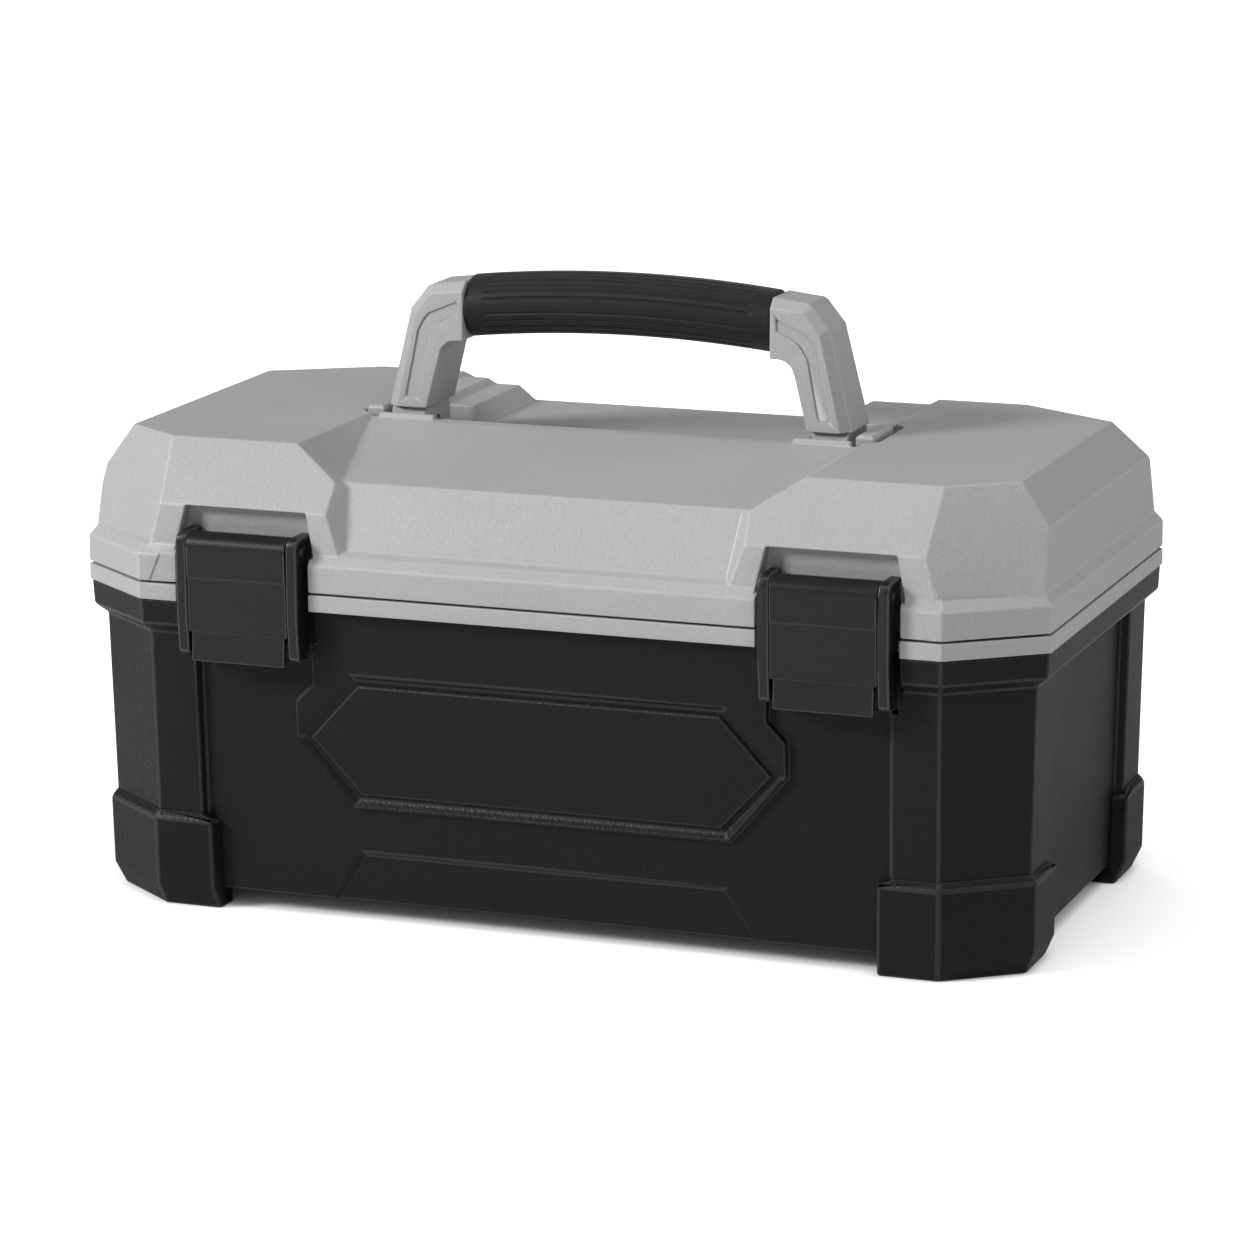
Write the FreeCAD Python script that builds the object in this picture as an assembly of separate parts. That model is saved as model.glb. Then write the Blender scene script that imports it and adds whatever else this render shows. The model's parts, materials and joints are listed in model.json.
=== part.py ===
"""Toolbox with a lift-out tray: a black tub, a grey two-shouldered lid, two latches and a folding handle.

Millimetres. +Z is up, +X is to the user's right and the latches face -Y.
The origin is the centre of the base, on the ground.
Each function below makes one piece, and the last section writes every piece to parts/NAME.step.
"""
import FreeCAD, Part
import math
import os

from FreeCAD import Rotation, Vector

# ---------------------------------------------------------------- driving dimensions: the body
rim_length = 480.0          # over the rim, end to end
rim_depth = 262.0           # over the rim, front to back
rim_cut_x = 42.0            # corner cut of the rim, measured along the long side
rim_cut_y = 32.0            # corner cut of the rim, measured along the short side
rim_z = 161.0               # height of the joint between tub and lid
lid_rise = 66.0             # shoulder tops above the joint
wall = 3.0                  # moulded wall of tub and lid
tray_wall = 2.4
seam = 0.5                  # half of the shadow gap between tub and lid

lower_band = 8.5            # grey rim frame below the joint
upper_band = 13.5           # grey band of the lid above the joint
band_slope = 4.5            # height of the slope from the band up to the dome wall
dome_inset = 3.8            # dome wall set back from the band
band_dent_x = 187.0         # end of the shallow step in the band beside a latch, at its top
band_dent_run = 6.0         # how far the step's end leans out towards the joint
band_dent_depth = 0.7

collar_inset = 0.9          # tub collar set back from the rim
collar_height = 12.0
collar_slope = 4.5          # height of the slope under the collar
post_inset = 7.2            # corner posts set back from the rim, at the top
post_taper = 2.6            # further set back of the posts at the bottom
panel_recess = 4.8          # walls set back from the posts
post_front = 65.5           # length of a post along the front, from the end of the box
post_side = 62.0            # length of a post along the side, from the front of the box
floor_z = 9.5               # underside of the tub above the ground
floor_thick = 3.5
draft = 0.6                 # slight lean of the short moulded walls
badge_chamfer = 0.8

foot_height = 48.5
foot_ring_slope = 4.5
foot_proud = 3.8            # feet stand out from the posts
foot_front = 75.5           # length of a foot along the front, from the end of the box
foot_side = 70.0            # length of a foot along the side
foot_bevel_height = 11.0
foot_bevel_inset = 5.5

front_panel_proud = 6.5       # front panel's face, set back from the rim
front_panel_lean = 2.6      # degrees that the panel leans in towards its foot
front_panel_wide_drop = 54.5  # where the panel gets wider under the latches, below the joint
hexagon_drop = 71.5         # middle of the badge below the joint
hexagon_rise = 27.0         # half height of the badge
hexagon_border = 5.0        # width of the recess round the badge
recess_depth = 2.4          # depth of that recess
badge_low = 0.5             # badge face below the panel's face
foot_recess_drop = 126.0    # top of the trapezoid below the joint
foot_recess_depth = 1.4

# ---------------------------------------------------------------- driving dimensions: the lid
shoulder_wall_rise = 37.0   # top of the front wall of a shoulder, above the joint
side_wall_rise = 46.6       # top of the end wall
shoulder_top_setback = 26.0  # front edge of a shoulder's top, from the rim
shoulder_back_setback = 31.0
side_top_setback = 18.5     # end edge of a shoulder's top, from the rim
corner_top_x = 30.5         # corner cut of the shoulder top, at the front
corner_foot_x = 47.0        # corner facet's inner edge at its foot, from the end of the rim
corner_wall_x = 51.5        # the same at the top of the wall
corner_top_y = 21.0
corner_back_x = 51.0        # corner cut of the shoulder top, at the back
corner_back_y = 30.0
shoulder_inner = 96.5       # inner end of a shoulder's front wall at its foot
shoulder_inner_mid = 104.0  # the same, where the inner slope starts
shoulder_inner_top = 126.0  # inner end of a shoulder's top
inner_slope_drop = 14.0     # how far the inner slope falls to shoulder_inner_mid

saddle_foot_setback = 8.5   # foot of the saddle's front face, from the rim
saddle_foot_rise = 20.0
saddle_edge_setback = 21.5  # top of the saddle's front face, from the rim
saddle_edge_rise = 50.0
ridge_rise = 64.5           # ridge in front of the handle
ridge_y = -16.0             # back of the ridge
ridge_land = 9.0            # flat land on the ridge
well_rise = 53.0            # floor of the well behind the ridge, above the joint
well_half = 88.0            # half length of the well's floor
well_step = 7.0             # run of each sloping side of the well
step_rise = 61.0            # small step on each side of the well
step_land = 12.0
plain_well_half = 77.0      # half length of the well's floor at the end without a step
plain_well_run = 19.0       # run of that end's slope

# ---------------------------------------------------------------- driving dimensions: the handle
arm_foot_inner = 97.0       # inner face of an arm at the lid
arm_width = 21.0
arm_depth = 36.0
arm_top_depth = 32.0
pivot_rise = 60.0           # handle pivot above the joint
pivot_pin_r = 3.0
arm_shoulder_rise = 117.0   # where the outer face of an arm turns in
arm_shoulder_x = 106.5
arm_brow_x = 97.0           # where an arm's outline turns on to its top
arm_brow_drop = 2.0         # how far below the arm's top that is
arm_top_rise = 131.0
arm_crook_x = 88.5          # inner corner of an arm under the grip
arm_radii = (9.0, 7.0, 6.0)  # roundings of the crook, the brow and the shoulder
arm_chamfer = 4.5
arm_outer_reach = 98.0      # points of an arm farther than this from the slots' level at x 0 are its outer side
arm_neck_height = 3.0       # dark neck between an arm and the lid
grip_half = 78.0            # half length of the rubber grip
grip_thick = 30.0
grip_depth = 32.0
grip_arch = 4.5             # rise of the grip's middle above its ends
grip_end_rise = 118.0       # middle of the grip's ends above the joint
core_r = 6.0
core_let_in = 13.0          # length of the core bar in each arm
slot_clear = 1.5            # gap round an arm in its slot
slot_back = 36.0            # back end of the slots
slot_back_wide = 4.5        # slots are this much wider behind the arms, which lean in
slot_nose = 5.0             # corner cut of a slot's back end
slot_depth = 19.0           # floor of the slots below the pivot
block_width = 9.0
block_depth = 31.0
block_proud = 2.5
block_chamfer = 1.2
arm_neck_inset = 1.6        # the necks are this much slimmer than the arms, all round
cover_thick = 1.2           # inlaid strip of an arm
cover_depth = 0.8           # the strip's face below the arm's face
cover_outline = [(102.5, 74.2), (108.3, 74.2), (101.6, 107.0), (96.5, 115.5),
                 (81.0, 122.0), (81.0, 116.0), (92.0, 110.5), (96.6, 103.0)]  # (x, rise above the joint)
cover_radii = [1.0, 1.0, 6.0, 8.0, 1.0, 1.0, 6.0, 6.0]

# ---------------------------------------------------------------- driving dimensions: latches and hinges
latch_width = 62.0
latch_inboard = 2.75        # latches stand this much inboard of the middle of their wall
latch_cheek = 5.4
latch_top_rise = 26.5       # top of a latch above the joint
latch_drop = 35.0           # bottom of a latch below the joint
latch_tab = 14.0            # height of the finger tab
latch_pin_r = 2.0
latch_barrel_r = 7.0
latch_thick = 4.0
latch_crease_rise = 5.0     # small step across the front plate, above the joint
latch_crease = 0.5
latch_front_y = -137.5      # front face of the latches
niche_gap = 3.0             # gap beside a latch at the joint
niche_top_rise = 37.0
niche_y = -118.5            # back of the latch niches
keeper_short = 3.0          # keepers are this much shorter than the plates, at each end
keeper_reach = 5.0          # keepers stand out from the back of their pockets
hinge_length = 64.0
hinge_from_corner = 36.0    # outer end of a hinge, from the rim's corner cut
knuckle_r = 4.0
hinge_pin_r = 1.6
hinge_leaf = 2.4
screw_r = 2.2
screw_head_r = 3.6
screw_from_end = 10.0       # hinge screws, from the ends of a leaf
lid_screw_rise = 9.0        # hinge screws above the joint
tub_screw_drop = 13.0       # hinge screws below the joint
screw_sunk = 1.2            # depth of a head's lower edge in its leaf
screw_proud = 0.8           # height of a head over its leaf
latch_screw_rise = 8.5      # latch screws above the joint
latch_screw_x = 12.0        # latch screws from the middle of their latch

# ---------------------------------------------------------------- driving dimensions: the tray
tray_flange_drop = 30.0     # top of the rests that the tray hangs on, below the joint
tray_rim_drop = 9.0         # the tray's rim below the joint
tray_floor_drop = 61.0      # the tray's underside below the joint
tray_clear = 1.6            # gap between tray and tub, all round
tray_rest_width = 9.0
tray_rest_thick = 4.0
tray_grip_rise = 35.0       # top of the tray's handle above the joint
tray_grip_width = 18.0
tray_grip_thick = 14.0
tray_grip_fillet = 5.5
tray_dividers_front = (-70.0, 130.0)   # places of the dividers in the front row
tray_dividers_rear = (-120.0, 100.0)
tray_divider_thick = 2.0
tray_spine = 12.0           # width of the middle channel
tray_grip_half = 62.0       # posts of the tray's handle, from its middle
tray_post = 16.0
tray_post_depth = 6.0

seal_inset = 12.4           # groove of the seal, set back from the rim
seal_width = 2.2
seal_depth = 2.4

# ---------------------------------------------------------------- clearances
running = 0.05              # radial gap of a pin in its bore
moving = 0.5                # gap between pieces that pass each other
face_gap = 0.3              # gap between pieces that close onto each other
hook_gap = 0.4              # a latch hook stops this short of its keeper

# ---------------------------------------------------------------- derived sizes
half_x = rim_length / 2
half_y = rim_depth / 2
rim_frame_z = rim_z - lower_band
collar_z = rim_frame_z - collar_height
post_top_z = collar_z - collar_slope
band_top_z = rim_z + upper_band
dome_z = band_top_z + band_slope
top_z = rim_z + lid_rise
wall_y = half_y - post_inset - panel_recess
wall_x = half_x - post_inset - panel_recess
inside_x = wall_x - wall
inside_y = wall_y - wall
tray_flange_z = rim_z - tray_flange_drop
tray_rim_z = rim_z - tray_rim_drop
tray_floor_z = rim_z - tray_floor_drop
tray_grip_z = rim_z + tray_grip_rise
latch_x = (shoulder_inner + half_x - rim_cut_x) / 2 - latch_inboard
latch_pin_y = latch_front_y + latch_barrel_r
latch_pin_z = rim_z + latch_top_rise - latch_barrel_r
niche_half = latch_width / 2 + niche_gap
hinge_y = -latch_front_y - knuckle_r
hinge_x = half_x - rim_cut_x - hinge_length / 2 - hinge_from_corner
pivot_z = rim_z + pivot_rise
slot_end_x = arm_foot_inner + arm_width + block_width + 3 * slot_clear
panel_half = latch_x - latch_width / 2 - moving
panel_wide = panel_half + 9.0
panel_y = -(half_y - front_panel_proud)
hexagon_z = rim_z - hexagon_drop
hexagon_tip = panel_half + 2.0
hexagon_top = panel_half - 23.0
BIG = 4 * rim_length


# ---------------------------------------------------------------- geometry helpers
def corner_outline(inset=0.0, cut_x=rim_cut_x, cut_y=rim_cut_y):
    """Points of the rim's outline with cut corners, moved inwards by inset with its walls parallel."""
    a, b = half_x, half_y
    reach = (a - cut_x) * cut_y + b * cut_x - inset * math.hypot(cut_x, cut_y)
    a, b = a - inset, b - inset
    new_x = a - (reach - b * cut_x) / cut_y
    new_y = new_x * cut_y / cut_x
    quarter = [(a - new_x, b), (a, b - new_y)]
    points = [(x, y) for x, y in quarter]
    points += [(x, -y) for x, y in reversed(quarter)]
    points += [(-x, -y) for x, y in quarter]
    points += [(-x, y) for x, y in reversed(quarter)]
    return points


def wire_xy(points, z):
    """Closed wire through plan points at height z."""
    vectors = [Vector(x, y, z) for x, y in points]
    return Part.makePolygon(vectors + vectors[:1])


def slab(inset_low, z_low, inset_high, z_high):
    """Solid between two cut-corner outlines."""
    low = wire_xy(corner_outline(inset_low), z_low)
    high = wire_xy(corner_outline(inset_high), z_high)
    return Part.makeLoft([low, high], True, True)


def prism(points, z_low, z_high):
    """Straight prism over plan points."""
    face = Part.Face(wire_xy(points, z_low))
    return face.extrude(Vector(0, 0, z_high - z_low))


def box(x0, x1, y0, y1, z0, z1):
    """Box from its limits."""
    return Part.makeBox(x1 - x0, y1 - y0, z1 - z0, Vector(x0, y0, z0))


def across_x(points, x0, x1):
    """Side-view outline (y, z) drawn out along X."""
    vectors = [Vector(x0, y, z) for y, z in points]
    face = Part.Face(Part.makePolygon(vectors + vectors[:1]))
    return face.extrude(Vector(x1 - x0, 0, 0))


def across_y(points, y0, y1):
    """Front-view outline (x, z) drawn out along Y."""
    vectors = [Vector(x, y0, z) for x, z in points]
    face = Part.Face(Part.makePolygon(vectors + vectors[:1]))
    return face.extrude(Vector(0, y1 - y0, 0))


def rounded_across_y(points, radii, y0, y1):
    """Front-view outline (x, z) with rounded corners, drawn out along Y. A radius of 0 keeps a corner."""
    corners = [Vector(x, y0, z) for x, z in points]
    ends = []
    for i, corner in enumerate(corners):
        if radii[i] == 0:
            ends.append((corner, None, corner))
            continue
        before = (corners[i - 1] - corner).normalize()
        after = (corners[(i + 1) % len(corners)] - corner).normalize()
        half_angle = before.getAngle(after) / 2
        run = radii[i] / math.tan(half_angle)
        inward = (before + after).normalize()
        middle = corner + inward * (radii[i] / math.sin(half_angle) - radii[i])
        ends.append((corner + before * run, middle, corner + after * run))
    edges = []
    for i, (start, middle, finish) in enumerate(ends):
        if middle is not None:
            edges.append(Part.Arc(start, middle, finish).toShape())
        edges.append(Part.makeLine(finish, ends[(i + 1) % len(ends)][0]))
    return Part.Face(Part.Wire(edges)).extrude(Vector(0, y1 - y0, 0))


def rod_x(radius, x0, x1, y, z):
    """Round rod along X."""
    return Part.makeCylinder(radius, x1 - x0, Vector(x0, y, z), Vector(1, 0, 0))


def rod_y(radius, y0, y1, x, z):
    """Round rod along Y."""
    return Part.makeCylinder(radius, y1 - y0, Vector(x, y0, z), Vector(0, 1, 0))


def mirror_x(shape):
    """Copy on the other side of the box's middle."""
    return shape.mirror(Vector(0, 0, 0), Vector(1, 0, 0))


def join(shapes):
    """One solid from touching or overlapping solids."""
    result = shapes[0]
    for other in shapes[1:]:
        result = result.fuse(other)
    return result.removeSplitter()


def group(shapes):
    """Separate solids kept together in one node."""
    return Part.makeCompound(shapes)


def side_of(side, shape):
    """The shape as drawn for the right side, or its mirror image for the left."""
    return shape if side == "right" else mirror_x(shape)


def cut_plane(shape, points, inside, inset=0.0):
    """Cut a shape by the plane through three points, keep the side of `inside`, moved in by inset."""
    a, b, c = (Vector(*p) for p in points)
    normal = (b - a).cross(c - a).normalize()
    if normal.dot(Vector(*inside) - a) > 0:
        normal = -normal
    block = Part.makeBox(BIG, BIG, BIG, Vector(-BIG / 2, -BIG / 2, 0))
    block.Placement = FreeCAD.Placement(a - normal * inset, Rotation(Vector(0, 0, 1), normal))
    return shape.cut(block)


# ---------------------------------------------------------------- the tub
def tub_outline():
    """Outer form of the tub: recessed walls, corner posts, collar and raised front panel."""
    low = post_inset + post_taper
    walls = slab(low + panel_recess, floor_z, post_inset + panel_recess, post_top_z)
    walls = walls.fuse(slab(post_inset + panel_recess, post_top_z, post_inset + panel_recess, rim_frame_z))
    posts = slab(low, floor_z, post_inset, post_top_z)
    middle_x = half_x - post_front
    middle_y = half_y - post_side
    lean = panel_recess
    front_gap = prism([(-middle_x, -half_y), (middle_x, -half_y), (middle_x - lean, -half_y + 20),
                       (-middle_x + lean, -half_y + 20)], floor_z - 1, rim_z)
    posts = posts.cut(front_gap)
    posts = posts.cut(front_gap.mirror(Vector(0, 0, 0), Vector(0, 1, 0)))
    side_gap = prism([(half_x, -middle_y), (half_x, middle_y), (half_x - 20, middle_y - lean),
                      (half_x - 20, -middle_y + lean)], floor_z - 1, rim_z)
    posts = posts.cut(side_gap)
    posts = posts.cut(mirror_x(side_gap))
    collar = slab(collar_inset + draft, collar_z, collar_inset, rim_frame_z)
    collar = collar.fuse(slab(post_inset, post_top_z, collar_inset + draft, collar_z))
    collar = collar.cut(box(-latch_x, latch_x, -half_y, 0, post_top_z - 1, rim_z))
    return join([walls, posts, collar, front_panel()])


def leaning(shape):
    """The shape turned in towards the foot of the front panel, about the panel's top."""
    shape.rotate(Vector(0, panel_y, rim_frame_z), Vector(1, 0, 0), front_panel_lean)
    return shape


def hexagon_points(grow):
    """Points (x, z) of the badge's long hexagon, grown outwards by a border."""
    tip, top, rise = hexagon_tip + grow * 1.4, hexagon_top + grow * 0.6, hexagon_rise + grow
    return [(-tip, hexagon_z), (-top, hexagon_z - rise), (top, hexagon_z - rise),
            (tip, hexagon_z), (top, hexagon_z + rise), (-top, hexagon_z + rise)]


def sunk(points_out, points_in, y_out, y_in):
    """Solid that narrows from one front-view outline to another, for a recess with sloping walls."""
    wires = []
    for points, y in ((points_out, y_out), (points_in, y_in)):
        vectors = [Vector(x, y, z) for x, z in points]
        wires.append(Part.makePolygon(vectors + vectors[:1]))
    return Part.makeLoft(wires, True, True)


def front_panel():
    """Raised panel on the front wall, from the rim frame down round the badge."""
    wide_z = rim_z - front_panel_wide_drop
    low = hexagon_rise + hexagon_border + 1.0
    points = [(panel_half, rim_frame_z), (panel_half, wide_z + 9.0), (panel_wide, wide_z),
              (panel_wide, hexagon_z), (hexagon_top + 4.0, hexagon_z - low)]
    points += [(-x, z) for x, z in reversed(points)]
    block = leaning(across_y(points, panel_y, -wall_y + 5))
    return block.common(box(-BIG, BIG, -BIG, BIG, 0, rim_frame_z))


def badge_recess():
    """Hexagonal recess of the front panel, with sloping walls."""
    deep = panel_y + recess_depth
    return leaning(sunk(hexagon_points(hexagon_border), hexagon_points(hexagon_border / 2), panel_y, deep))


def latch_pocket(side, half, z_low, z_high):
    """Space for a latch, cut through the collar and the rim frame."""
    return side_of(side, box(latch_x - half, latch_x + half, -half_y - 5, niche_y, z_low, z_high))


def tub_shell():
    body = tub_outline()
    low = post_inset + post_taper + panel_recess + wall
    hollow = slab(low, floor_z + floor_thick, post_inset + panel_recess + wall, post_top_z)
    hollow = hollow.fuse(slab(post_inset + panel_recess + wall, post_top_z,
                              post_inset + panel_recess + wall, rim_z))
    gutter = slab(collar_inset + wall + draft, collar_z + 1, collar_inset + wall + draft, rim_z)
    gutter = gutter.cut(slab(post_inset + panel_recess, collar_z, post_inset + panel_recess, rim_z))
    for side in ("left", "right"):
        gutter = gutter.cut(side_of(side, box(0, latch_x + niche_half + wall, -half_y, 0, collar_z, rim_z)))
        body = body.cut(latch_pocket(side, niche_half, post_top_z, rim_z))
        body = body.cut(latch_pocket(side, latch_width / 2 + moving, rim_z - latch_drop - 1, rim_z))
    body = body.cut(hollow).cut(gutter)
    for side in ("left", "right"):
        rest = box(inside_x - tray_rest_width, inside_x + 1, -half_y + post_side, half_y - post_side,
                   tray_flange_z - tray_rest_thick, tray_flange_z)
        body = body.fuse(side_of(side, rest))
    body = body.cut(badge_recess()).cut(foot_recess())
    body = body.cut(hinge_space("lid")).cut(hinge_screws("tub"))
    return body.removeSplitter()


def foot_recess():
    """Shallow trapezoid along the foot of the front wall, with sloping edges."""
    top_z_here = rim_z - foot_recess_drop
    top_half, low_half, slope = hexagon_top + 2.0, hexagon_top + 19.0, 2.4
    outer = [(-low_half, floor_z - 1), (low_half, floor_z - 1), (top_half, top_z_here), (-top_half, top_z_here)]
    inner = [(-low_half + slope, floor_z - 2), (low_half - slope, floor_z - 2),
             (top_half - slope, top_z_here - slope), (-top_half + slope, top_z_here - slope)]
    face_y = -(wall_y - post_taper)
    return sunk(outer, inner, face_y - foot_recess_depth, face_y + foot_recess_depth)


def badge_panel():
    """Blank hexagonal plate in the recess of the front panel."""
    face_y = panel_y + badge_low
    plate = across_y(hexagon_points(0.0), face_y, panel_y + recess_depth)
    edges = [e for e in plate.Edges if e.BoundBox.YMax < face_y + 0.01]
    return leaning(plate.makeChamfer(badge_chamfer, edges))


def foot(front, right):
    """Corner foot: a cup under and round one corner post."""
    low = post_inset + post_taper
    ring = low - foot_proud
    top = foot_height
    body = slab(ring + foot_bevel_inset, 0, ring + draft, foot_bevel_height)
    body = body.fuse(slab(ring + draft, foot_bevel_height, ring, top - foot_ring_slope))
    body = body.fuse(slab(ring, top - foot_ring_slope, low - draft, top))
    keep_x, keep_y = half_x - foot_front, half_y - foot_side
    bevel = 4.0
    corner = prism([(keep_x + bevel, half_y), (keep_x, wall_y - 2), (keep_x, wall_y - 12),
                    (wall_x - 14, keep_y), (wall_x - 2, keep_y), (half_x, keep_y + bevel), (half_x, half_y)],
                   -1, top + 1)
    lip_x = across_y([(keep_x - 1, top + 2), (keep_x - 1, top - 5), (keep_x, top - 5), (keep_x + 10, top),
                      (keep_x + 10, top + 2)], 0, half_y)
    lip_y = across_x([(keep_y - 1, top + 2), (keep_y - 1, top - 5), (keep_y, top - 5), (keep_y + 10, top),
                      (keep_y + 10, top + 2)], 0, half_x)
    near_front = box(0, wall_x - 14, 0, half_y, 0, top + 3)
    body = body.common(corner).cut(lip_x.common(near_front)).cut(lip_y.cut(near_front)).cut(tub_outline())
    if front:
        body = body.mirror(Vector(0, 0, 0), Vector(0, 1, 0))
    return body if right else mirror_x(body)


def rim_frame():
    """Grey frame on the tub's edge, which the lid closes onto."""
    body = slab(0, rim_frame_z, 0, rim_z - seam)
    opening = slab(post_inset + panel_recess + wall, rim_frame_z - 1, post_inset + panel_recess + wall, rim_z)
    body = body.cut(opening).cut(seal_ring(0.0))
    for side in ("left", "right"):
        body = body.cut(latch_pocket(side, niche_half, rim_frame_z - 1, rim_z))
    return body.cut(hinge_space("lid")).cut(hinge_space("tub")).removeSplitter()


def seal_ring(stand):
    """Ring of the seal's section, standing up by stand above the rim frame."""
    outer = slab(seal_inset, rim_z - seam - seal_depth, seal_inset, rim_z - seam + stand)
    inner = slab(seal_inset + seal_width, rim_z - seam - seal_depth - 1, seal_inset + seal_width, rim_z + 1)
    return outer.cut(inner)


def lid_seal():
    """Rubber seal in the groove of the rim frame."""
    return seal_ring(2 * seam - 0.3)


def latch_keeper(side):
    """Bar on the tub's wall that a latch hook catches under."""
    half = latch_width / 2 - latch_cheek - keeper_short
    y_out = niche_y - keeper_reach
    profile = [(niche_y, rim_z - 20), (y_out, rim_z - 17.5), (y_out, rim_z - 13.5), (niche_y, rim_z - 11)]
    return side_of(side, across_x(profile, latch_x - half, latch_x + half))


# ---------------------------------------------------------------- the hinges
def knuckle_spans(piece):
    """X spans of a hinge's knuckles: the tub has the two outer ones, the lid the middle one."""
    third = hinge_length / 3
    low = hinge_x - hinge_length / 2
    if piece == "lid":
        return [(low + third + moving, low + 2 * third - moving)]
    return [(low, low + third), (low + 2 * third, low + hinge_length)]


def hinge_space(piece):
    """Room in the other half of the box for a hinge's knuckles, on both sides."""
    cuts = []
    for x0, x1 in knuckle_spans(piece):
        rod = rod_x(knuckle_r + moving, x0 - moving, x1 + moving, hinge_y, rim_z)
        cuts += [rod, mirror_x(rod)]
    return group(cuts)


def hinge_leaf_piece(piece, side):
    """Hinge leaf with its knuckles: a plate on the back of the tub or of the lid."""
    up = 1 if piece == "lid" else -1
    z_far = rim_z + up * (upper_band - 1.0 if piece == "lid" else 19.0)
    z_near = rim_z + up * (seam + 0.1)
    solids = []
    for x0, x1 in knuckle_spans(piece):
        solids.append(rod_x(knuckle_r, x0, x1, hinge_y, rim_z))
        low, high = sorted((z_near, z_far))
        solids.append(box(x0, x1, half_y, half_y + hinge_leaf, low, high))
    low, high = sorted((rim_z + up * (knuckle_r + 1.2), z_far))
    solids.append(box(hinge_x - hinge_length / 2, hinge_x + hinge_length / 2,
                      half_y, half_y + hinge_leaf, low, high))
    body = join(solids)
    body = body.cut(rod_x(hinge_pin_r + running, hinge_x - hinge_length, hinge_x + hinge_length, hinge_y, rim_z))
    if piece == "lid":
        body = body.cut(box(0, BIG, 0, half_y, rim_z - 20, rim_z + 20))
    for x in screw_places():
        body = body.cut(screw(x, piece))
    return side_of(side, body)


def screw_places():
    """X places of the two screws of a hinge leaf."""
    return (hinge_x - hinge_length / 2 + screw_from_end, hinge_x + hinge_length / 2 - screw_from_end)


def screw(x, piece):
    """Round-headed screw through a hinge leaf, going in towards the front."""
    z = rim_z + (lid_screw_rise if piece == "lid" else -tub_screw_drop)
    shank = rod_y(screw_r, half_y - 3.0, half_y + hinge_leaf, x, z)
    head = rod_y(screw_head_r, half_y + hinge_leaf - screw_sunk, half_y + hinge_leaf + screw_proud, x, z)
    return join([shank, head])


def hinge_screws(piece):
    """The four screws of the two leaves on one half of the box."""
    right = [screw(x, piece) for x in screw_places()]
    return group(right + [mirror_x(s) for s in right])


def hinge_pin(side):
    low = hinge_x - hinge_length / 2
    return side_of(side, rod_x(hinge_pin_r, low + 0.2, low + hinge_length - 0.2, hinge_y, rim_z))


# ---------------------------------------------------------------- the lid
def shoulder(inset):
    """One end of the lid as a faceted block on the right, with all its faces moved in by inset."""
    middle = (latch_x, 0, dome_z)
    wall_inset = dome_inset
    body = box(0, half_x, -half_y, half_y, rim_z - 40, top_z + 20)
    foot_a, foot_b = (half_x - corner_foot_x, half_y - wall_inset), corner_outline(wall_inset)[1]
    front_y = -half_y + wall_inset
    wall_top = (latch_x, front_y + 2.0, rim_z + shoulder_wall_rise)
    top_front_y = -half_y + shoulder_top_setback
    top_back_y = half_y - shoulder_back_setback
    top_side_x = half_x - side_top_setback
    side_top = (half_x - wall_inset - 1.1, 0, rim_z + side_wall_rise)
    corner_low = (half_x - corner_wall_x, wall_top[1], wall_top[2])
    top_corner = (top_side_x - corner_top_x, top_front_y, top_z)
    back_wall_top = (latch_x, -wall_top[1], wall_top[2])
    back_top_corner = (top_side_x - corner_back_x, top_back_y, top_z)
    planes = [
        [(0, front_y, dome_z), (half_x, front_y, dome_z), wall_top],
        [(0, -front_y, dome_z), (half_x, -front_y, dome_z), back_wall_top],
        [(foot_b[0], 0, dome_z), (foot_b[0], 50, dome_z), side_top],
        [(foot_a[0], -foot_a[1], dome_z), (foot_b[0], -foot_b[1], dome_z), corner_low],
        [(foot_a[0], foot_a[1], dome_z), (foot_b[0], foot_b[1], dome_z),
         (corner_low[0], -corner_low[1], corner_low[2])],
        [(0, wall_top[1], wall_top[2]), wall_top, (0, top_front_y, top_z)],
        [(0, back_wall_top[1], back_wall_top[2]), back_wall_top, (0, top_back_y, top_z)],
        [side_top, (side_top[0], 50, side_top[2]), (top_side_x, 0, top_z)],
        [top_corner, (top_side_x, top_front_y + corner_top_y, top_z), corner_low],
        [back_top_corner, (top_side_x, top_back_y - corner_back_y, top_z),
         (half_x - wall_inset - 1.1, half_y - rim_cut_y - dome_inset - 7.0, side_top[2])],
        [(0, 0, top_z), (1, 0, top_z), (0, 1, top_z)],
        [(shoulder_inner_top, 0, top_z), (shoulder_inner_top, 50, top_z),
         (shoulder_inner_mid, 0, top_z - inner_slope_drop)],
        [(shoulder_inner, front_y, dome_z), (shoulder_inner + 6.7, wall_top[1], wall_top[2]),
         (shoulder_inner + 1.2, -half_y + saddle_edge_setback, rim_z + saddle_edge_rise)],
    ]
    for points in planes:
        body = cut_plane(body, points, middle, inset)
    return body


def saddle(inset):
    """Lower middle part of the lid, running the whole length under the shoulders, moved in by inset."""
    ridge_front = ridge_y - ridge_land
    profile = [(-half_y + saddle_foot_setback, rim_z + saddle_foot_rise),
               (-half_y + saddle_edge_setback, rim_z + saddle_edge_rise),
               (ridge_front, rim_z + ridge_rise - 0.4),
               (half_y - shoulder_back_setback - 4, rim_z + ridge_rise - 0.4),
               (half_y - saddle_foot_setback, rim_z + saddle_foot_rise)]
    low = rim_z - 40
    outline = [(profile[0][0], low)] + profile + [(profile[-1][0], low)]
    body = across_x(outline, -latch_x, latch_x)
    if inset:
        inside = (0, 0, dome_z)
        for a, b in zip(outline[:-1], outline[1:]):
            body = cut_plane(body, [(0, *a), (50, *a), (0, *b)], inside, inset)
    return body


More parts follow.
